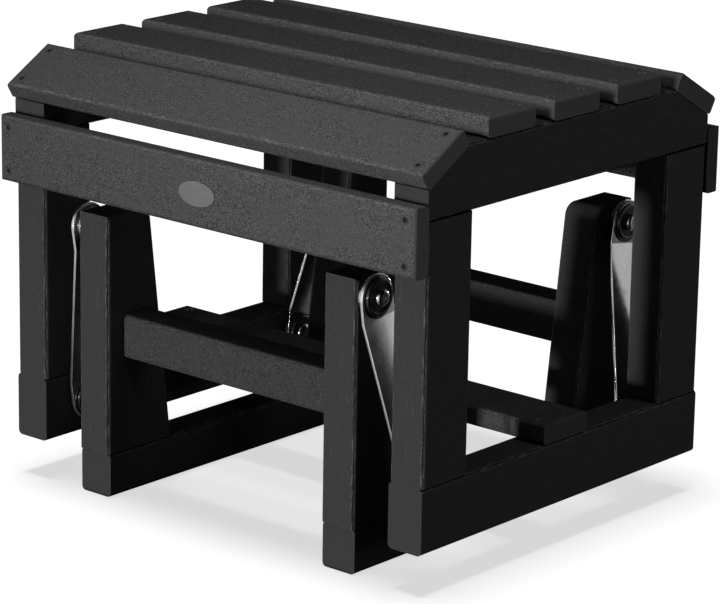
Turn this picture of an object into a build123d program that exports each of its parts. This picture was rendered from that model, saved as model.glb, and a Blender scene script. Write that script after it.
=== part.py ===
from build123d import *
import os
from math import atan2, cos, hypot, radians, sin, tan

# Glider ottoman in round-edged plastic lumber. A slatted seat frame hangs on four swinging steel
# arms from a low fixed base, and glides from front to rear. Millimetres, +Z up, front facing -Y.
# The origin is on the floor, under the centre of the seat.
os.makedirs("parts", exist_ok=True)

# Lumber stock
thick = 38.1
thin = 19.05
edge_round = 4.5
end_ease = 3.5

# Seat side frames: foot rail, two legs and an end board with both upper corners cut off
side_outer = 252.9
frame_half_depth = 203.3
foot_rail_bottom = 38.9
foot_rail_height = 61.8
leg_height = 240.2
leg_depth = 62.5
end_board_height = 61.2
corner_height = 29.0
corner_run = 55.2

# Boards that tie the side frames together. Slats and aprons overhang the frames a little.
apron_overhang = 1.3
apron_height = 63.5
apron_drop = 47.4
slat_overhang = 0.8
slat_width = 65.9
slat_gap = 26.3
slat_count = 3
sloped_slat_width = 63.0
sloped_slat_drop = 2.0
stretcher_width = 64.0

# Fixed base, inside the side frames: the bay between them holds the arms
arm_bay = 42.8
runner_height = 43.0
runner_setback = 3.5
post_setback = 1.8
post_height = 232.3
post_top_depth = 58.2
post_foot_depth = 87.2
post_inner_corner = 13.5
post_outer_corner = 6.5
cross_rail_height = 42.0
cross_rail_rise = 91.5
cross_rail_setback = 21.9

# Swinging arms, and their pivots on the posts and foot rails
upper_pivot_setback = 19.6
upper_pivot_drop = 17.8
lower_pivot_setback = 50.4
lower_pivot_rise = 35.6
arm_width = 41.6
arm_plate = 3.0
arm_gap = 5.0
tab_length = 21.0
bend_radius = 6.0

# Pivot hardware, with heights above the lumber face that it stands on
washer_width = 34.0
washer_height = 3.0
hub_width = 14.4
hub_height = 11.0
cup_width = 34.0
cup_bottom = 3.4
cup_height = 7.8
cup_wall = 1.5
cup_lip = 0.6
lip_width = 1.4
flange_width = 40.0
flange_height = 1.2
groove_inner_width = 20.0
groove_outer_width = 25.0
groove_depth = 0.6
pivot_bolt_width = 8.0
pivot_bolt_depth = 32.0
button_width = 15.5
button_height = 5.2
button_face_width = 10.5
dome_width = 19.0
dome_height = 4.0
dome_face_width = 9.0
head_edge = 0.9
socket_width = 5.0
socket_depth = 1.6

# Screws
screw_width = 4.2
sunk_head_width = 8.0
sunk_head_angle = 90.0
pan_head_width = 9.0
pan_head_height = 3.5
recess_width = 4.6
recess_slot = 1.4
recess_depth = 1.5
deck_screw_length = 48.0
frame_screw_length = 75.0
counterbore_width = 10.0
runner_counterbore = 12.0
foot_rail_counterbore = 25.0
end_board_counterbore = 38.0

# Screws stand this far in from the outer faces of the side frames
slat_screw_inset = 12.5
slat_screw_spacing = 44.0
sloped_screw_inset = 11.0
sloped_screw_spacing = 41.6
stretcher_screw_inset = 14.0
stretcher_screw_spacing = 40.0
apron_screw_inset = 10.0
apron_screw_spacing = 41.4
leg_screw_setbacks = (14.0, 34.0)
post_screw_setbacks = (22.0, 62.0)

# Double-ended studs, hidden in the joints of the cross rails
stud_width = 8.0
stud_in_post = 28.0
stud_in_rail = 42.0
stud_tip = 1.2
stud_spacing = 22.0

# Oval plate on the front apron
plate_width = 43.5
plate_height = 23.5
plate_thickness = 1.2
plate_edge = 0.3

# Clearances: a shaft in its bore, a screwed or pressed fit, the end of a blind hole, and the play
# of the rear lower pivots, which lets the seat hang on all four arms at once
shaft_clearance = 0.05
fit_clearance = 0.05
tip_clearance = 0.5
rear_pivot_play = 1.8
rear_washer_gap = 0.2

# Places that follow from the sizes above
side_inner = side_outer - thick
side_middle = side_outer - thick / 2
slat_length = 2 * (side_outer + slat_overhang)
apron_length = 2 * (side_outer + apron_overhang)
leg_bottom = foot_rail_bottom + foot_rail_height
end_board_bottom = leg_bottom + leg_height
end_board_top = end_board_bottom + end_board_height
corner_top = end_board_bottom + corner_height
corner_angle = atan2(end_board_height - corner_height, corner_run)
corner_cut = hypot(end_board_height - corner_height, corner_run)
sloped_slat_middle = corner_cut / 2 - sloped_slat_drop
slat_top = end_board_top + thin
slat_pitch = slat_width + slat_gap
slat_rows = [(n - (slat_count - 1) / 2) * slat_pitch for n in range(slat_count)]
apron_face = frame_half_depth + thin
apron_z = end_board_bottom - apron_drop + apron_height / 2
stretcher_top = leg_bottom + thin
post_outer = side_inner - arm_bay
post_inner = post_outer - thick
post_middle = post_outer - thick / 2
post_reach = frame_half_depth - post_setback
post_top = runner_height + post_height
runner_half_length = post_reach - runner_setback
cross_rail_y = post_reach - cross_rail_setback - thick / 2
cross_rail_z = runner_height + cross_rail_rise + cross_rail_height / 2
upper_pivot_y = post_reach - upper_pivot_setback
upper_pivot_z = post_top - upper_pivot_drop
lower_pivot_y = frame_half_depth - lower_pivot_setback
lower_pivot_z = foot_rail_bottom + lower_pivot_rise
arm_length = hypot(upper_pivot_y - lower_pivot_y, upper_pivot_z - lower_pivot_z)
cup_bore = cup_width / 2 - cup_wall
screw_hole = screw_width / 2 + fit_clearance
sunk_hole = sunk_head_width / 2 + fit_clearance
stud_hole = stud_width / 2 + fit_clearance
bolt_hole = pivot_bolt_width / 2 + fit_clearance
bolt_hole_depth = pivot_bolt_depth + tip_clearance

both = (-1, 1)
sides = (("left", -1), ("right", 1))
ends = (("front", -1), ("rear", 1))
corners = [(f"{end_name}_{side_name}", end, side) for end_name, end in ends for side_name, side in sides]


def save(piece, name):
    piece.part.label = name
    export_step(piece.part, f"parts/{name}.step")


# ---- Places of the fasteners and pivots: planes on the surface they enter, facing outward ----


def facing(points, direction):
    return [Plane(point, z_dir=direction) for point in points]


def corner_plane(end):
    return Plane(
        (0, end * frame_half_depth, corner_top),
        x_dir=(-end, 0, 0),
        z_dir=(0, end * sin(corner_angle), cos(corner_angle)),
    )


def upper_pivot(end, side):
    point = (side * post_outer, end * upper_pivot_y, upper_pivot_z)
    return Plane(point, x_dir=(0, 1, 0), z_dir=(side, 0, 0))


def lower_pivot(end, side):
    point = (side * side_inner, end * lower_pivot_y, lower_pivot_z)
    return Plane(point, x_dir=(0, 1, 0), z_dir=(-side, 0, 0))


def sloped_screws(end):
    top = corner_plane(end).offset(thin)
    rows = [sloped_slat_middle + row * sloped_screw_spacing / 2 for row in both]
    spots = [(side * (side_outer - sloped_screw_inset), row, 0) for side in both for row in rows]
    return [Plane(top.from_local_coords(spot), x_dir=top.x_dir, z_dir=top.z_dir) for spot in spots]


def slat_screws(y):
    rows = [y + row * slat_screw_spacing / 2 for row in both]
    x = side_outer - slat_screw_inset
    return facing([(side * x, row, slat_top) for side in both for row in rows], (0, 0, 1))


def apron_screws(end):
    heights = [apron_z + row * apron_screw_spacing / 2 for row in both]
    x = side_outer - apron_screw_inset
    return facing([(side * x, end * apron_face, z) for side in both for z in heights], (0, end, 0))


def cross_studs(end, side, direction):
    heights = [cross_rail_z + row * stud_spacing / 2 for row in both]
    return facing([(side * post_inner, end * cross_rail_y, z) for z in heights], (direction, 0, 0))


def stretcher_screws(side):
    rows = [row * stretcher_screw_spacing / 2 for row in both]
    x = side_outer - stretcher_screw_inset
    return facing([(side * x, row, stretcher_top) for row in rows], (0, 0, 1))


def leg_spots(end, side, height):
    return [(side * side_middle, end * (frame_half_depth - back), height) for back in leg_screw_setbacks]


def post_spots(end, side):
    return [(side * post_middle, end * (post_reach - back), 0) for back in post_screw_setbacks]


def foot_screws(end, side):
    return facing(leg_spots(end, side, foot_rail_bottom), (0, 0, -1))


def end_board_screws(end, side):
    return facing(leg_spots(end, side, end_board_top), (0, 0, 1))


def runner_screws(end, side):
    return facing(post_spots(end, side), (0, 0, -1))


# ---- Boards ----


# A length of stock with its four long edges rounded. Where ease is given, the ends are rounded
# over too, on the face that shows.
def board(centre, along, show, length, width, thickness, ease=0.0):
    across = Vector(*along).cross(Vector(*show))
    with BuildPart() as blank:
        with BuildSketch(Plane(centre, x_dir=across, z_dir=along)):
            RectangleRounded(width, thickness, edge_round)
        extrude(amount=length / 2, both=True)
        if ease:
            with BuildSketch(Plane(centre, x_dir=along, z_dir=across)) as long_side:
                Rectangle(length, thickness)
                fillet(long_side.vertices().group_by(Axis.Y)[-1], ease)
            extrude(amount=width / 2, both=True, mode=Mode.INTERSECT)
    return blank.part


# Blind holes that take the screws of these places, and the holes of boards that they pass through
def pilot_holes(places, length):
    with Locations(*places):
        Hole(screw_hole, depth=length + tip_clearance)


def sunk_holes(places):
    with Locations(*places):
        CounterSinkHole(screw_hole, sunk_hole, counter_sink_angle=sunk_head_angle)


# ---- Fixed base ----

for side_name, side in sides:
    centre = (side * post_middle, 0, runner_height / 2)
    blank = board(centre, (0, 1, 0), (side, 0, 0), 2 * runner_half_length, runner_height, thick)
    with BuildPart() as runner:
        add(blank)
        with Locations(*runner_screws(-1, side), *runner_screws(1, side)):
            CounterBoreHole(screw_hole, counterbore_width / 2, runner_counterbore)
    save(runner, f"runner_{side_name}")

# A post stands on its runner. Its outer edge is upright and its inner edge leans, so that it widens
# to the foot.
for corner, end, side in corners:
    side_view = Plane((side * post_middle, 0, 0), x_dir=(0, end, 0), z_dir=(end, 0, 0))
    with BuildPart() as post:
        with BuildSketch(side_view) as outline:
            with BuildLine():
                Polyline(
                    (post_reach, runner_height),
                    (post_reach, post_top),
                    (post_reach - post_top_depth, post_top),
                    (post_reach - post_foot_depth, runner_height),
                    close=True,
                )
            make_face()
            inner_corner, outer_corner = outline.vertices().group_by(Axis.Y)[-1].sort_by(Axis.X)
            fillet(inner_corner, post_inner_corner)
            fillet(outer_corner, post_outer_corner)
        extrude(amount=thick / 2, both=True)
        broad_faces = post.faces().group_by(Axis.X)
        rim = (broad_faces[0] + broad_faces[-1]).edges()
        fillet(rim.filter_by(lambda edge: edge.center().Z > runner_height + edge_round), edge_round)
        pilot_holes([place.offset(-runner_counterbore) for place in runner_screws(end, side)],
                    frame_screw_length)
        with Locations(*cross_studs(end, side, -side)):
            Hole(stud_hole, depth=stud_in_post)
        with Locations(upper_pivot(end, side)):
            Hole(bolt_hole, depth=bolt_hole_depth)
    save(post, f"post_{corner}")

for end_name, end in ends:
    centre = (0, end * cross_rail_y, cross_rail_z)
    blank = board(centre, (1, 0, 0), (0, end, 0), 2 * post_inner, cross_rail_height, thick)
    with BuildPart() as cross_rail:
        add(blank)
        with Locations(*cross_studs(end, -1, -1), *cross_studs(end, 1, 1)):
            Hole(stud_hole, depth=stud_in_rail + tip_clearance)
    save(cross_rail, f"cross_rail_{end_name}")


# ---- Seat frame ----

for side_name, side in sides:
    side_seat_screws = [place for y in slat_rows for place in slat_screws(y)]
    side_seat_screws += sloped_screws(-1) + sloped_screws(1)

    centre = (side * side_middle, 0, foot_rail_bottom + foot_rail_height / 2)
    blank = board(centre, (0, 1, 0), (side, 0, 0), 2 * frame_half_depth, foot_rail_height, thick)
    with BuildPart() as foot_rail:
        add(blank)
        with Locations(*foot_screws(-1, side), *foot_screws(1, side)):
            CounterBoreHole(screw_hole, counterbore_width / 2, foot_rail_counterbore)
        pilot_holes(stretcher_screws(side), deck_screw_length)
        with Locations(lower_pivot(-1, side)):
            Hole(bolt_hole, depth=bolt_hole_depth)
        with Locations(lower_pivot(1, side)):
            Hole(bolt_hole + rear_pivot_play, depth=bolt_hole_depth)
    save(foot_rail, f"foot_rail_{side_name}")

    centre = (side * side_middle, 0, end_board_bottom + end_board_height / 2)
    blank = board(centre, (0, 1, 0), (side, 0, 0), 2 * frame_half_depth, end_board_height, thick)
    with BuildPart() as end_board:
        add(blank)
        with BuildSketch(Plane.YZ.offset(side * side_middle)):
            with BuildLine():
                Polyline(
                    (-frame_half_depth, end_board_bottom),
                    (-frame_half_depth, corner_top),
                    (corner_run - frame_half_depth, end_board_top),
                    (frame_half_depth - corner_run, end_board_top),
                    (frame_half_depth, corner_top),
                    (frame_half_depth, end_board_bottom),
                    close=True,
                )
            make_face()
        extrude(amount=thick / 2, both=True, mode=Mode.INTERSECT)
        with Locations(*end_board_screws(-1, side), *end_board_screws(1, side)):
            CounterBoreHole(screw_hole, counterbore_width / 2, end_board_counterbore)
        pilot_holes(side_seat_screws, deck_screw_length)
        pilot_holes(apron_screws(-1) + apron_screws(1), deck_screw_length)
    save(end_board, f"end_board_{side_name}")

for corner, end, side in corners:
    centre = (side * side_middle, end * (frame_half_depth - leg_depth / 2), leg_bottom + leg_height / 2)
    blank = board(centre, (0, 0, 1), (0, end, 0), leg_height, thick, leg_depth)
    with BuildPart() as leg:
        add(blank)
        pilot_holes([place.offset(-foot_rail_counterbore) for place in foot_screws(end, side)],
                    frame_screw_length)
        pilot_holes([place.offset(-end_board_counterbore) for place in end_board_screws(end, side)],
                    frame_screw_length)
        pilot_holes(apron_screws(end), deck_screw_length)
    save(leg, f"leg_{corner}")

for end_name, end in ends:
    centre = (0, end * (frame_half_depth + thin / 2), apron_z)
    blank = board(centre, (1, 0, 0), (0, end, 0), apron_length, apron_height, thin, end_ease)
    with BuildPart() as apron:
        add(blank)
        sunk_holes(apron_screws(end))
    save(apron, f"apron_{end_name}")

    slope = corner_plane(end)
    centre = slope.from_local_coords((0, sloped_slat_middle, thin / 2))
    blank = board(centre, (1, 0, 0), slope.z_dir, slat_length, sloped_slat_width, thin, end_ease)
    with BuildPart() as sloped_slat:
        add(blank)
        sunk_holes(sloped_screws(end))
    save(sloped_slat, f"sloped_slat_{end_name}")

for number, y in enumerate(slat_rows, 1):
    blank = board((0, y, slat_top - thin / 2), (1, 0, 0), (0, 0, 1), slat_length, slat_width, thin, end_ease)
    with BuildPart() as slat:
        add(blank)
        sunk_holes(slat_screws(y))
    save(slat, f"seat_slat_{number}")

centre = (0, 0, stretcher_top - thin / 2)
blank = board(centre, (1, 0, 0), (0, 0, 1), 2 * side_outer, stretcher_width, thin, end_ease)
with BuildPart() as stretcher:
    add(blank)
    sunk_holes(stretcher_screws(-1) + stretcher_screws(1))
save(stretcher, "stretcher")

with BuildPart() as oval_plate:
    with BuildSketch(Plane((0, -apron_face, apron_z), x_dir=(1, 0, 0), z_dir=(0, -1, 0))):
        Ellipse(plate_width / 2, plate_height / 2)
    extrude(amount=plate_thickness)
    chamfer(oval_plate.faces().sort_by(Axis.Y)[0].edges(), plate_edge)
save(oval_plate, "oval_plate")


# ---- Swinging arms ----

# A steel plate with an upright tab at each pivot. Between the tabs it slants outward, from beside
# the post to beside the foot rail.
upper_tab = arm_gap + arm_plate / 2
lower_tab = side_inner - post_outer - arm_gap - arm_plate / 2
for corner, end, side in corners:
    hang = Vector(0, end * (lower_pivot_y - upper_pivot_y), lower_pivot_z - upper_pivot_z).normalized()
    outward = Vector(side, 0, 0)
    origin = upper_pivot(end, side).origin
    with BuildPart() as arm:
        with BuildSketch(Plane(origin, x_dir=hang, z_dir=hang.cross(outward))) as edge_view:
            with BuildLine():
                Polyline(
                    (-arm_width / 2, upper_tab - arm_plate / 2),
                    (tab_length, upper_tab - arm_plate / 2),
                    (arm_length - tab_length, lower_tab - arm_plate / 2),
                    (arm_length + arm_width / 2, lower_tab - arm_plate / 2),
                    (arm_length + arm_width / 2, lower_tab + arm_plate / 2),
                    (arm_length - tab_length, lower_tab + arm_plate / 2),
                    (tab_length, upper_tab + arm_plate / 2),
                    (-arm_width / 2, upper_tab + arm_plate / 2),
                    close=True,
                )
            make_face()
            fillet(edge_view.vertices().sort_by_distance(edge_view.face().center())[:4], bend_radius)
        extrude(amount=arm_width / 2, both=True)
        with BuildSketch(Plane(origin, x_dir=hang, z_dir=outward)):
            with Locations((arm_length / 2, 0)):
                SlotCenterToCenter(arm_length, arm_width)
        extrude(amount=side_inner - post_outer, mode=Mode.INTERSECT)
        with Locations(upper_pivot(end, side), lower_pivot(end, side)):
            Hole(cup_width / 2 + fit_clearance)
    save(arm, f"swing_arm_{corner}")

# The pressed cup that carries the bearing. It passes through the arm plate, its flange lies on the
# plate, and a lip at each end holds the bearing.
cup_top = cup_bottom + cup_height
flange_bottom = arm_gap + arm_plate
with BuildPart() as cup:
    with BuildSketch(Plane.XZ):
        with BuildLine():
            Polyline(
                (cup_bore - lip_width, cup_bottom),
                (cup_width / 2, cup_bottom),
                (cup_width / 2, flange_bottom),
                (flange_width / 2, flange_bottom),
                (flange_width / 2, flange_bottom + flange_height),
                (cup_width / 2, flange_bottom + flange_height),
                (cup_width / 2, cup_top),
                (cup_bore - lip_width, cup_top),
                (cup_bore - lip_width, cup_top - cup_lip),
                (cup_bore, cup_top - cup_lip),
                (cup_bore, cup_bottom + cup_lip),
                (cup_bore - lip_width, cup_bottom + cup_lip),
                close=True,
            )
        make_face()
    revolve(axis=Axis.Z)

# Sealed ball bearing, with a ring groove in each seal
bearing_bottom = cup_bottom + cup_lip + fit_clearance
bearing_top = cup_top - cup_lip - fit_clearance
with BuildPart() as bearing:
    with BuildSketch(Plane.XY.offset(bearing_bottom)):
        Circle(cup_bore - fit_clearance)
        Circle(hub_width / 2 + shaft_clearance, mode=Mode.SUBTRACT)
    extrude(amount=bearing_top - bearing_bottom)
    with BuildSketch(Plane.XY.offset(bearing_bottom), Plane.XY.offset(bearing_top - groove_depth)):
        Circle(groove_outer_width / 2)
        Circle(groove_inner_width / 2, mode=Mode.SUBTRACT)
    extrude(amount=groove_depth, mode=Mode.SUBTRACT)

# Washer with the hub that turns in the bearing
with BuildPart() as spacer:
    Cylinder(washer_width / 2, washer_height, align=(Align.CENTER, Align.CENTER, Align.MIN))
    Cylinder(hub_width / 2, hub_height, align=(Align.CENTER, Align.CENTER, Align.MIN))
    Hole(bolt_hole)


# Pivot bolt with a rounded head, flat around its hexagon socket
def pivot_bolt(head_width, head_height, face_width):
    head_top = hub_height + head_height
    face_edge = (face_width / 2, head_top)
    rim = (head_width / 2, hub_height + head_edge)
    with BuildPart() as bolt:
        with BuildSketch(Plane.XZ):
            with BuildLine():
                TangentArc(face_edge, rim, tangent=(1, 0))
                Polyline(
                    rim,
                    (head_width / 2, hub_height),
                    (pivot_bolt_width / 2, hub_height),
                    (pivot_bolt_width / 2, -pivot_bolt_depth),
                    (0, -pivot_bolt_depth),
                    (0, head_top),
                    face_edge,
                )
            make_face()
        revolve(axis=Axis.Z)
        with BuildSketch(Plane.XY.offset(head_top - socket_depth)):
            RegularPolygon(socket_width / 2, 6, major_radius=False)
        extrude(amount=socket_depth, mode=Mode.SUBTRACT)
    return bolt.part


def save_group(shape, places, name):
    with BuildPart() as group:
        with Locations(*places):
            add(shape)
    save(group, name)


button_bolt = pivot_bolt(button_width, button_height, button_face_width)
dome_bolt = pivot_bolt(dome_width, dome_height, dome_face_width)
upper_pivots = [upper_pivot(end, side) for _, end, side in corners]
front_lower_pivots = [lower_pivot(-1, side) for side in both]
save_group(button_bolt, upper_pivots, "upper_pivot_bolts")
save_group(spacer.part, upper_pivots, "upper_pivot_spacers")
save_group(dome_bolt, front_lower_pivots, "lower_pivot_bolts_front")
save_group(spacer.part, front_lower_pivots, "lower_pivot_spacers_front")
for side_name, side in sides:
    pivot = lower_pivot(1, side).offset(rear_washer_gap)
    save_group(dome_bolt, [pivot], f"lower_pivot_bolt_rear_{side_name}")
    save_group(spacer.part, [pivot], f"lower_pivot_spacer_rear_{side_name}")
for corner, end, side in corners:
    arm_pivots = [upper_pivot(end, side), lower_pivot(end, side)]
    save_group(cup.part, arm_pivots, f"bearing_cups_{corner}")
    save_group(bearing.part, arm_pivots, f"bearings_{corner}")


# ---- Screws ----


# Turned from its profile, head first, with a six-armed recess in the head
def screw(head, head_top, length):
    with BuildPart() as shape:
        with BuildSketch(Plane.XZ):
            with BuildLine():
                Polyline(
                    (0, head_top),
                    *head,
                    (screw_width / 2, screw_width / 2 - length),
                    (0, -length),
                    close=True,
                )
            make_face()
        revolve(axis=Axis.Z)
        with BuildSketch(Plane.XY.offset(head_top)), PolarLocations(0, 3, angular_range=180):
            Rectangle(recess_width, recess_slot)
        extrude(amount=-recess_depth, mode=Mode.SUBTRACT)
    return shape.part


def sunk_screw(length):
    sink = (sunk_head_width - screw_width) / 2 / tan(radians(sunk_head_angle / 2))
    return screw([(sunk_head_width / 2, 0), (screw_width / 2, -sink)], 0, length)


def pan_screw(length):
    rim = [(pan_head_width / 2, pan_head_height), (pan_head_width / 2, 0), (screw_width / 2, 0)]
    return screw(rim, pan_head_height, length)


def seated(places, depth):
    return [place.offset(-depth) for place in places]


with BuildPart() as stud:
    with Locations((0, 0, (stud_in_post - tip_clearance - stud_in_rail) / 2)):
        Cylinder(stud_width / 2, stud_in_post - tip_clearance + stud_in_rail)
    chamfer(stud.edges(), stud_tip)

deck_screw = sunk_screw(deck_screw_length)
frame_screw = pan_screw(frame_screw_length)

flat_places = [place for y in slat_rows for place in slat_screws(y)]
foot_places = [place for _, end, side in corners for place in foot_screws(end, side)]
top_places = [place for _, end, side in corners for place in end_board_screws(end, side)]
post_places = [place for _, end, side in corners for place in runner_screws(end, side)]
stud_places = [place for _, end, side in corners for place in cross_studs(end, side, side)]

save_group(deck_screw, flat_places, "seat_slat_screws")
save_group(deck_screw, sloped_screws(-1) + sloped_screws(1), "sloped_slat_screws")
save_group(deck_screw, apron_screws(-1) + apron_screws(1), "apron_screws")
save_group(deck_screw, stretcher_screws(-1) + stretcher_screws(1), "stretcher_screws")
save_group(stud.part, stud_places, "cross_rail_studs")
save_group(frame_screw, seated(foot_places, foot_rail_counterbore), "foot_rail_screws")
save_group(frame_screw, seated(top_places, end_board_counterbore), "end_board_screws")
save_group(frame_screw, seated(post_places, runner_counterbore), "runner_screws")
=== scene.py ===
import math

import bmesh
import bpy
from mathutils import Matrix, Vector

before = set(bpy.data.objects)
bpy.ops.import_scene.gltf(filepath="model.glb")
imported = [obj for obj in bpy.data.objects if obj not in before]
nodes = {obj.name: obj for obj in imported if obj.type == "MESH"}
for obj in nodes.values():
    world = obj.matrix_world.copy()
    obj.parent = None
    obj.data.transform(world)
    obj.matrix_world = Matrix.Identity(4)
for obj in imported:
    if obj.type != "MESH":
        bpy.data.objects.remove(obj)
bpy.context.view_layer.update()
print("frame:", len(nodes), "nodes loaded")


def grey(level, blue=0.0):
    return (level, level, level + blue, 1.0)


def newMaterial(name):
    material = bpy.data.materials.new(name)
    material.use_nodes = True
    tree = material.node_tree
    return material, tree, tree.nodes["Principled BSDF"]


def setInputs(tree, node, inputs):   # a socket is linked, any other value is set on the input itself
    for key, value in inputs.items():
        if isinstance(value, bpy.types.NodeSocket):
            tree.links.new(value, node.inputs[key])
        else:
            node.inputs[key].default_value = value


def addNode(tree, kind, inputs=None, **settings):
    node = tree.nodes.new(kind)
    for key, value in settings.items():
        setattr(node, key, value)
    setInputs(tree, node, inputs or {})
    return node


def calculate(tree, operation, a, b):
    return addNode(tree, "ShaderNodeMath", {0: a, 1: b}, operation=operation).outputs[0]


def times(tree, a, b):
    return calculate(tree, "MULTIPLY", a, b)


def plus(tree, a, b):
    return calculate(tree, "ADD", a, b)


def larger(tree, a, b):
    return calculate(tree, "MAXIMUM", a, b)


def remap(tree, value, low, high, toLow=0.0, toHigh=1.0):   # smooth between two levels
    node = addNode(tree, "ShaderNodeMapRange", {0: value, 1: low, 2: high, 3: toLow, 4: toHigh},
                   interpolation_type="SMOOTHSTEP")
    return node.outputs[0]


def mixColor(tree, factor, a, b):
    return addNode(tree, "ShaderNodeMix", {0: factor, 6: a, 7: b}, data_type="RGBA").outputs[2]


def noise(tree, vector, look):   # the look is a scale, a detail and a roughness
    scale, detail, rough = look
    inputs = {"Vector": vector, "Scale": scale, "Detail": detail, "Roughness": rough}
    return addNode(tree, "ShaderNodeTexNoise", inputs).outputs["Fac"]


def stretchAlong(tree, vector, axis, amount):   # makes a pattern longer along one axis
    scale = [1.0 / amount if n == axis else 1.0 for n in range(3)]
    return addNode(tree, "ShaderNodeMapping", {"Vector": vector, "Scale": scale}).outputs[0]


def turnAboutX(tree, vector, angle):
    inputs = {"Vector": vector, "Angle": angle}
    return addNode(tree, "ShaderNodeVectorRotate", inputs, rotation_type="X_AXIS").outputs[0]


def addBump(tree, height, distance, strength):
    inputs = {"Height": height, "Distance": distance, "Strength": strength}
    return addNode(tree, "ShaderNodeBump", inputs)


def paintCornerShade(tree, color, shadeLook):   # painted shade: seams, recesses and inner corners are darkened by ambient occlusion
    reach, samples = shadeLook["reach"], shadeLook["samples"]
    closed = addNode(tree, "ShaderNodeAmbientOcclusion", {"Distance": reach}, samples=samples)
    return mixColor(tree, remap(tree, closed.outputs["AO"], *shadeLook["levels"]), shadeLook["color"], color)


# Plastic lumber: the thin boards and the cross rails are pebbled in patches, the square stock is smoother.
# A wavy dark line runs along the rounded edges, where flatness lies between its two ends.
# Seams and inner corners get painted shade, darkened by ambient occlusion within a reach set per stock.
pebbled = {"grainHeight": 0.00050, "lineStart": (0.90, 0.93), "lineEnd": (0.975, 0.945), "lineMix": 0.35,
           "scuffStretch": 3.0, "scuffMix": 0.35, "shadeReach": 0.0035}
smoother = {"grainHeight": 0.00016, "lineStart": (0.0, 0.1), "lineEnd": (0.80, 0.76), "lineMix": 0.85,
            "scuffStretch": 6.0, "scuffMix": 0.6, "shadeReach": 0.006}
lumber = {
    "thin": {"pale": grey(0.096, 0.0005), "dark": grey(0.032, 0.0005), **pebbled},
    "rail": {"pale": grey(0.080, 0.0005), "dark": grey(0.028, 0.0005), **pebbled},
    "square": {"pale": grey(0.060, 0.0005), "dark": grey(0.043, 0.0005), **smoother},
    "streaks": (480.0, 4.0, 0.6), "streakStretch": 9.0, "streakShare": 0.12,
    "pebbles": (820.0, 3.0, 0.65), "pebbleLevels": (0.38, 0.62),
    "patches": (34.0, 3.0, 0.6), "patchLevels": (0.42, 0.60), "betweenPatches": 0.35,
    "sawnAt": (0.9, 0.5), "sawnGrain": 0.3,   # the sawn ends are smoother
    "plainEnds": (0.2, 0.05),   # and their own rounding has no scuffs and no line
    "waver": (260.0, 3.0, 0.6), "waverHeight": 0.22,
    "scuffs": (620.0, 3.0, 0.7), "scuffLevels": (0.46, 0.62), "scuffHeight": 0.0004,
    "edgeLevels": (0.99, 0.90),   # flatness at which the scuffs start and are full
    "scuffColor": grey(0.19), "lineColor": grey(0.008),
    # painted shade in seams and inner corners: its colour, occlusion levels and samples
    "shadeColor": grey(0.004), "shadeLevels": (0.35, 0.80), "shadeSamples": 6,
    "bumpStrength": 0.8, "roughness": 0.74, "specular": 0.0,
}


def pebbleGrain(tree, spot, axis, endOn):   # about 0, above it on the pebbles and below it between them
    patches = noise(tree, spot, lumber["patches"])
    streaks = noise(tree, stretchAlong(tree, spot, axis, lumber["streakStretch"]), lumber["streaks"])
    pebbles = noise(tree, spot, lumber["pebbles"])
    share = lumber["streakShare"]
    mottle = plus(tree, times(tree, streaks, share), times(tree, pebbles, 1.0 - share))
    patchy = remap(tree, patches, *lumber["patchLevels"], lumber["betweenPatches"], 1.0)
    sawn = remap(tree, endOn, *lumber["sawnAt"], lumber["sawnGrain"], 1.0)
    return times(tree, plus(tree, mottle, -0.5), times(tree, patchy, sawn))


# The grain runs along one axis. The rounded edges show where the normal leaves the board's own axes,
# so a sloped board turns its normals level first.
def lumberMaterial(name, stock, along, tilt=0.0):
    tone = lumber[stock]
    axis = "XYZ".index(along)
    material, tree, shader = newMaterial(name)
    place = addNode(tree, "ShaderNodeTexCoord")
    spot = place.outputs["Object"]
    scuffSpot = stretchAlong(tree, spot, axis, tone["scuffStretch"])

    level = turnAboutX(tree, place.outputs["Normal"], tilt)
    facing = addNode(tree, "ShaderNodeVectorMath", {0: level}, operation="ABSOLUTE")
    parts = addNode(tree, "ShaderNodeSeparateXYZ", {0: facing.outputs[0]}).outputs
    flatness = larger(tree, larger(tree, parts[0], parts[1]), parts[2])
    waver = plus(tree, noise(tree, scuffSpot, lumber["waver"]), -0.5)
    wavy = plus(tree, flatness, times(tree, waver, lumber["waverHeight"]))
    sideOn = remap(tree, parts[axis], *lumber["plainEnds"])

    grain = pebbleGrain(tree, spot, axis, parts[axis])
    pebbleTops = remap(tree, plus(tree, grain, 0.5), *lumber["pebbleLevels"])
    base = mixColor(tree, pebbleTops, tone["dark"], tone["pale"])

    edge = times(tree, remap(tree, wavy, *lumber["edgeLevels"]), sideOn)
    scratches = remap(tree, noise(tree, scuffSpot, lumber["scuffs"]), *lumber["scuffLevels"])
    scuffs = times(tree, scratches, edge)
    scuffed = mixColor(tree, times(tree, scuffs, tone["scuffMix"]), base, lumber["scuffColor"])

    between = times(tree, remap(tree, wavy, *tone["lineStart"]), remap(tree, wavy, *tone["lineEnd"]))
    line = times(tree, times(tree, between, sideOn), tone["lineMix"])
    lined = mixColor(tree, line, scuffed, lumber["lineColor"])
    # painted shade: seams and inner corners are darkened by ambient occlusion
    cornerShade = {"reach": tone["shadeReach"], "samples": lumber["shadeSamples"], "levels": lumber["shadeLevels"],
            "color": lumber["shadeColor"]}

    fine = addBump(tree, grain, tone["grainHeight"], lumber["bumpStrength"])
    rough = addBump(tree, scuffs, lumber["scuffHeight"], lumber["bumpStrength"])
    setInputs(tree, rough, {"Normal": fine.outputs[0]})
    setInputs(tree, shader, {"Base Color": paintCornerShade(tree, lined, cornerShade), "Normal": rough.outputs[0],
                             "Roughness": lumber["roughness"], "Specular IOR Level": lumber["specular"]})
    return material
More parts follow.
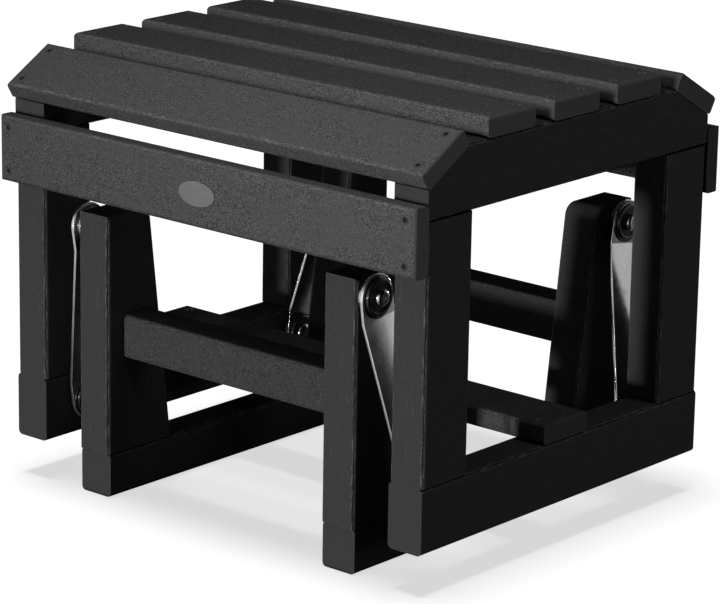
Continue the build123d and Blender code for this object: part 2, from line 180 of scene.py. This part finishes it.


# Swing arms of brushed steel: dark and pale brush marks, and roughness from clean to rubbed. The front and
# rear arms are one steel in two greys, paler on the front arms and darker on the rear: painted light and
# shade.
armSteel = {
    # painted light and shade: the front arms' steel is paler and the rear arms' darker
    "front": {"dark": grey(0.44), "pale": grey(0.58), "wear": (0.27, 0.40)},
    "rear": {"dark": grey(0.32), "pale": grey(0.40), "wear": (0.11, 0.20)},
    "lean": math.radians(9.0),   # how far an arm leans from upright
    "brush": (1300.0, 4.0, 0.6), "brushStretch": 60.0, "brushLevels": (0.3, 0.7),
    "brushDepth": 0.00001, "brushStrength": 0.5,
    "smudges": (45.0, 4.0, 0.6), "smudgeLevels": (0.52, 0.72), "smudgeTop": 0.6,
    "specks": (230.0, 5.0, 0.7), "speckLevels": (0.60, 0.70),
    "soilColor": grey(0.20), "soilMix": 0.45, "wearLevels": (0.35, 0.65),
}


# The brush marks run down the arm, which leans forwards or backwards
def brushedSteel(name, side, lean):
    tone = armSteel[side]
    material, tree, shader = newMaterial(name)
    spot = addNode(tree, "ShaderNodeTexCoord").outputs["Object"]
    down = stretchAlong(tree, turnAboutX(tree, spot, lean), 2, armSteel["brushStretch"])
    brush = noise(tree, down, armSteel["brush"])
    smudge = noise(tree, spot, armSteel["smudges"])
    specks = noise(tree, spot, armSteel["specks"])
    clean = mixColor(tree, remap(tree, brush, *armSteel["brushLevels"]), tone["dark"], tone["pale"])
    speckled = remap(tree, specks, *armSteel["speckLevels"])
    smudged = remap(tree, smudge, *armSteel["smudgeLevels"], 0.0, armSteel["smudgeTop"])
    soil = times(tree, larger(tree, speckled, smudged), armSteel["soilMix"])
    rubbed = times(tree, plus(tree, brush, smudge), 0.5)
    bump = addBump(tree, brush, armSteel["brushDepth"], armSteel["brushStrength"])
    setInputs(tree, shader, {"Base Color": mixColor(tree, soil, clean, armSteel["soilColor"]),
                             "Roughness": remap(tree, rubbed, *armSteel["wearLevels"], *tone["wear"]),
                             "Normal": bump.outputs[0], "Metallic": 1.0})
    return material


# Plated spacers and bolts
plating = {
    "washerSteel": {"color": grey(0.36), "roughness": (0.24, 0.36)},
    "boltSteel": {"color": grey(0.46), "roughness": (0.16, 0.26)},
    "darker": 0.8,   # how bright the cloudy places are against the rest
    "cloud": (260.0, 4.0, 0.6), "cloudLevels": (0.35, 0.65), "roughLevels": (0.3, 0.7),
    "fine": (1800.0, 2.0, 0.55), "fineDepth": 0.00002, "fineStrength": 0.4,
}


def platedSteel(name):
    tone = plating[name]
    material, tree, shader = newMaterial(name)
    spot = addNode(tree, "ShaderNodeTexCoord").outputs["Object"]
    cloud = noise(tree, spot, plating["cloud"])
    fine = noise(tree, spot, plating["fine"])
    cloudy = grey(tone["color"][0] * plating["darker"])
    bump = addBump(tree, fine, plating["fineDepth"], plating["fineStrength"])
    color = mixColor(tree, remap(tree, cloud, *plating["cloudLevels"]), cloudy, tone["color"])
    setInputs(tree, shader, {"Base Color": color, "Normal": bump.outputs[0], "Metallic": 1.0,
                             "Roughness": remap(tree, cloud, *plating["roughLevels"], *tone["roughness"])})
    return material


# Black cups, seals and screws. The screws' cross recesses get painted shade by ambient occlusion.
blackTrim = {
    "cupBlack": {"color": grey(0.010, 0.0002), "roughness": (0.13, 0.24), "specular": 0.5},
    "bearingSeal": {"color": grey(0.012), "roughness": (0.45, 0.6), "specular": 0.25},
    "screwBlack": {"color": grey(0.034, 0.0005), "roughness": (0.5, 0.65), "specular": 0.2,
                   # painted shade: the screw recesses are darkened by ambient occlusion
                   "recess": {"reach": 0.003, "samples": 8, "levels": (0.75, 0.97), "color": grey(0.003)}},
    "paler": 1.7,   # how bright the cloudy places are against the rest
    "cloud": (500.0, 3.0, 0.6), "cloudLevels": (0.4, 0.7), "roughLevels": (0.3, 0.7),
    "cloudDepth": 0.00003, "cloudStrength": 0.4,
}


def darkTrim(name):
    tone = blackTrim[name]
    material, tree, shader = newMaterial(name)
    spot = addNode(tree, "ShaderNodeTexCoord").outputs["Object"]
    cloud = noise(tree, spot, blackTrim["cloud"])
    cloudy = tuple(channel * blackTrim["paler"] for channel in tone["color"][:3]) + (1.0,)
    color = mixColor(tree, remap(tree, cloud, *blackTrim["cloudLevels"]), tone["color"], cloudy)
    # painted shade in the recesses, where a finish has them
    if "recess" in tone:
        color = paintCornerShade(tree, color, tone["recess"])
    bump = addBump(tree, cloud, blackTrim["cloudDepth"], blackTrim["cloudStrength"])
    setInputs(tree, shader, {"Base Color": color, "Normal": bump.outputs[0],
                             "Roughness": remap(tree, cloud, *blackTrim["roughLevels"], *tone["roughness"]),
                             "Specular IOR Level": tone["specular"]})
    return material


plate = {
    "pale": grey(0.128, 0.002), "dark": grey(0.100, 0.002), "roughness": (0.5, 0.62), "metallic": 0.2,
    "brush": (1600.0, 3.0, 0.6), "brushStretch": 20.0, "brushLevels": (0.3, 0.7),
    "brushDepth": 0.00002, "brushStrength": 0.3,
}


def plateGrey():   # the oval plate is brushed lengthwise
    material, tree, shader = newMaterial("plateGrey")
    spot = addNode(tree, "ShaderNodeTexCoord").outputs["Object"]
    brush = noise(tree, stretchAlong(tree, spot, 0, plate["brushStretch"]), plate["brush"])
    bump = addBump(tree, brush, plate["brushDepth"], plate["brushStrength"])
    color = mixColor(tree, remap(tree, brush, *plate["brushLevels"]), plate["dark"], plate["pale"])
    setInputs(tree, shader, {"Base Color": color, "Normal": bump.outputs[0], "Metallic": plate["metallic"],
                             "Roughness": remap(tree, brush, *plate["brushLevels"], *plate["roughness"])})
    return material


slopeAngle = math.radians(30.24)   # of the sloped slats
finishes = {
    "thinX": lumberMaterial("lumberThinBoard", "thin", "X"),
    "railX": lumberMaterial("lumberCrossRail", "rail", "X"),
    "squareY": lumberMaterial("lumberSideRail", "square", "Y"),
    "squareZ": lumberMaterial("lumberUpright", "square", "Z"),
    "slopeFront": lumberMaterial("lumberSlopeFront", "thin", "X", -slopeAngle),
    "slopeRear": lumberMaterial("lumberSlopeRear", "thin", "X", slopeAngle),
    "armFrontLit": brushedSteel("armSteelFrontLit", "front", armSteel["lean"]),
    "armRearShaded": brushedSteel("armSteelRearShaded", "rear", -armSteel["lean"]),
    "cup": darkTrim("cupBlack"),
    "washer": platedSteel("washerSteel"),
    "bolt": platedSteel("boltSteel"),
    "seal": darkTrim("bearingSeal"),
    "screw": darkTrim("screwBlack"),
    "plate": plateGrey(),
}

# Which finish each node takes, by how its name begins. The first that fits is taken.
finishByName = (
    ("sloped_slat_front", "slopeFront"), ("sloped_slat_rear", "slopeRear"),
    ("runner_screws", "screw"), ("foot_rail_screws", "screw"), ("end_board_screws", "screw"),
    ("cross_rail_studs", "bolt"), ("seat_slat_screws", "screw"), ("sloped_slat_screws", "screw"),
    ("apron_screws", "screw"), ("stretcher_screws", "screw"),
    ("runner", "squareY"), ("foot_rail", "squareY"), ("end_board", "squareY"),
    ("apron", "thinX"), ("seat_slat", "thinX"), ("stretcher", "thinX"), ("cross_rail", "railX"),
    ("leg", "squareZ"), ("post", "squareZ"),
    ("swing_arm_front", "armFrontLit"), ("swing_arm_rear", "armRearShaded"),
    ("bearing_cups", "cup"), ("bearings", "seal"),
    ("upper_pivot_spacers", "washer"), ("lower_pivot_spacer", "washer"),
    ("upper_pivot_bolts", "bolt"), ("lower_pivot_bolt", "bolt"),
    ("oval_plate", "plate"),
)
for name, piece in nodes.items():
    finish = next(finish for start, finish in finishByName if name.startswith(start))
    piece.data.materials.clear()
    piece.data.materials.append(finishes[finish])
print("finishes: set on", len(nodes), "nodes")

# Cut and turned edges of metal are broken a little, so that they catch the light
brokenEdges = {
    "widths": {"swing_arm": 0.0005, "bearing_cups": 0.0006, "upper_pivot": 0.0003, "lower_pivot": 0.0003,
               "seat_slat_screws": 0.0004, "sloped_slat_screws": 0.0004, "apron_screws": 0.0004,
               "stretcher_screws": 0.0004},
    "segments": 2, "sharperThan": math.radians(40.0), "joinWithin": 0.00001, "flatWeight": 100,
}


def breakEdges(piece, width):
    piece.modifiers.new("join", "WELD").merge_threshold = brokenEdges["joinWithin"]
    bevel = piece.modifiers.new("breakEdge", "BEVEL")
    bevel.width = width
    bevel.segments = brokenEdges["segments"]
    bevel.angle_limit = brokenEdges["sharperThan"]
    bevel.use_clamp_overlap = False
    evenShade = piece.modifiers.new("evenShade", "WEIGHTED_NORMAL")   # large faces stay flat to the light
    evenShade.weight = brokenEdges["flatWeight"]


for name, piece in nodes.items():
    for start, width in brokenEdges["widths"].items():
        if name.startswith(start):
            breakEdges(piece, width)
print("edges: broken")

floorSize = 60.0
floorMesh = bpy.data.meshes.new("floor")
floor = bpy.data.objects.new("floor", floorMesh)
bpy.context.scene.collection.objects.link(floor)
floorForm = bmesh.new()
bmesh.ops.create_grid(floorForm, x_segments=1, y_segments=1, size=floorSize / 2)
floorForm.to_mesh(floorMesh)
floorForm.free()

stageLook = {
    "floorGlow": 0.67, "floorShade": grey(0.84), "floorBounce": grey(0.10),
    "shineNear": 0.13, "shineFar": 1.0,   # the floor's strength in reflections
    "shineReach": (1.1, 2.4), "shineFront": (-0.35, -0.6),
    "skyColor": grey(1.0), "skySeen": 1.0, "ambient": 0.02, "ceiling": 0.12, "ceilingHeight": (0.30, 0.62),
}


def seenDirectly(tree, path):   # by the camera, or through glass
    return larger(tree, path.outputs["Is Camera Ray"], path.outputs["Is Transmission Ray"])


# The floor glows white to the camera. In the metal's reflections it is dark beside and behind the
# object, and white in front and further out. Its light on the object stays low.
def floorMaterial():
    material, tree, shader = newMaterial("studioFloor")
    tree.nodes.remove(shader)
    path = addNode(tree, "ShaderNodeLightPath")
    seen = seenDirectly(tree, path)
    spot = addNode(tree, "ShaderNodeTexCoord").outputs["Object"]
    away = addNode(tree, "ShaderNodeVectorMath", {0: spot}, operation="LENGTH").outputs["Value"]
    forward = addNode(tree, "ShaderNodeSeparateXYZ", {0: spot}).outputs[1]
    shine = (stageLook["shineNear"], stageLook["shineFar"])
    mirrored = larger(tree, remap(tree, away, *stageLook["shineReach"], *shine),
                      remap(tree, forward, *stageLook["shineFront"], *shine))
    glow = plus(tree, times(tree, seen, stageLook["floorGlow"]),
                times(tree, path.outputs["Is Glossy Ray"], mirrored))
    color = mixColor(tree, seen, stageLook["floorBounce"], stageLook["floorShade"])
    glowing = addNode(tree, "ShaderNodeEmission", {"Strength": glow})
    diffuse = addNode(tree, "ShaderNodeBsdfDiffuse", {"Color": color})
    both = addNode(tree, "ShaderNodeAddShader", {0: glowing.outputs[0], 1: diffuse.outputs[0]})
    setInputs(tree, tree.nodes["Material Output"], {"Surface": both.outputs[0]})
    return material


# The world is white to the camera, dark overhead in reflections, and gives little light
def studioWorld():
    world = bpy.data.worlds.new("studio")
    world.use_nodes = True
    tree = world.node_tree
    path = addNode(tree, "ShaderNodeLightPath")
    place = addNode(tree, "ShaderNodeTexCoord")
    height = addNode(tree, "ShaderNodeSeparateXYZ", {0: place.outputs["Generated"]}).outputs[2]
    mirrored = remap(tree, height, *stageLook["ceilingHeight"], 1.0, stageLook["ceiling"])
    shiny = times(tree, path.outputs["Is Glossy Ray"], mirrored)
    plain = addNode(tree, "ShaderNodeMapRange",
                    {0: seenDirectly(tree, path), 3: stageLook["ambient"], 4: stageLook["skySeen"]})
    setInputs(tree, tree.nodes["Background"], {"Color": stageLook["skyColor"],
                                               "Strength": larger(tree, plain.outputs[0], shiny)})
    return world


floorMesh.materials.append(floorMaterial())
bpy.context.scene.world = studioWorld()

# One lamp lights the floor alone and one the front of the seat alone. The rest miss the floor.
seatBoards = [piece for name, piece in nodes.items()
              if name.startswith(("seat_slat", "sloped_slat", "apron_front", "oval_plate"))]
lampAim = Vector((0.0, 0.0, 0.2))
allButFloor = ("EXCLUDE", [floor])
lamps = {
    "front": {"kind": "AREA", "from": (-0.08, -6.00, 0.30), "size": 0.5, "power": 275.0,
              "lights": ("EXCLUDE", [floor] + seatBoards)},
    "seatFront": {"kind": "AREA", "from": (0.45, -1.72, 0.85), "size": 0.5, "power": 32.0,
                  "lights": ("INCLUDE", seatBoards)},
    "top": {"kind": "AREA", "from": (0.13, -0.42, 0.95), "size": 0.4, "power": 0.95},
    "right": {"kind": "AREA", "from": (2.19, 0.59, 2.46), "size": 1.2, "power": 10.0},
    "rightLow": {"kind": "AREA", "from": (3.14, 0.27, 0.76), "size": 1.0, "power": 5.5},
    "left": {"kind": "AREA", "from": (-1.8, -0.1, 0.13), "size": 0.2, "power": 8.0},
    "back": {"kind": "AREA", "from": (-0.2, 1.8, 0.13), "size": 0.2, "power": 12.0},
    "overFloor": {"kind": "SUN", "from": (-0.05, -0.05, 2.0), "size": math.radians(18.0), "power": 1.42,
                  "lights": ("INCLUDE", [floor])},
}


def addLamp(name, values):
    light = bpy.data.lights.new(name, values["kind"])
    light.energy = values["power"]
    if values["kind"] == "AREA":
        light.shape = "DISK"
        light.size = values["size"]
    else:
        light.angle = values["size"]
    lamp = bpy.data.objects.new(name, light)
    lamp.location = values["from"]
    lamp.rotation_euler = (lampAim - Vector(values["from"])).to_track_quat("-Z", "Y").to_euler()
    lamp.visible_camera = False
    bpy.context.scene.collection.objects.link(lamp)

    state, pieces = values.get("lights", allButFloor)
    receivers = bpy.data.collections.new(name + "Lights")
    for piece in pieces:
        receivers.objects.link(piece)
    for link in receivers.collection_objects:
        link.light_linking.link_state = state
    lamp.light_linking.receiver_collection = receivers


for name, values in lamps.items():
    addLamp(name, values)
print("stage: floor, world and", len(lamps), "lamps set")

view = {"place": (2.1023, -2.4429, 1.1016), "azimuth": 40.67, "elevation": 15.97, "roll": 0.97,
        "lens": 176.27, "sensor": 36.0, "reach": 200.0}


def aimCamera(values):
    azimuth, elevation, roll = (math.radians(values[key]) for key in ("azimuth", "elevation", "roll"))
    level = math.cos(elevation)
    ahead = Vector((-math.sin(azimuth) * level, math.cos(azimuth) * level, -math.sin(elevation)))
    right = Vector((math.cos(azimuth), math.sin(azimuth), 0.0))
    up = right.cross(ahead)
    turnedRight = right * math.cos(roll) + up * math.sin(roll)
    turnedUp = up * math.cos(roll) - right * math.sin(roll)
    turn = Matrix((turnedRight, turnedUp, -ahead)).transposed().to_4x4()
    return Matrix.Translation(values["place"]) @ turn


cameraData = bpy.data.cameras.new("camera")
cameraData.lens = view["lens"]
cameraData.sensor_width = view["sensor"]
cameraData.clip_end = view["reach"]
camera = bpy.data.objects.new("camera", cameraData)
camera.matrix_world = aimCamera(view)
bpy.context.scene.collection.objects.link(camera)
bpy.context.scene.camera = camera
bpy.context.scene.view_settings.view_transform = "Standard"
print("camera: set")
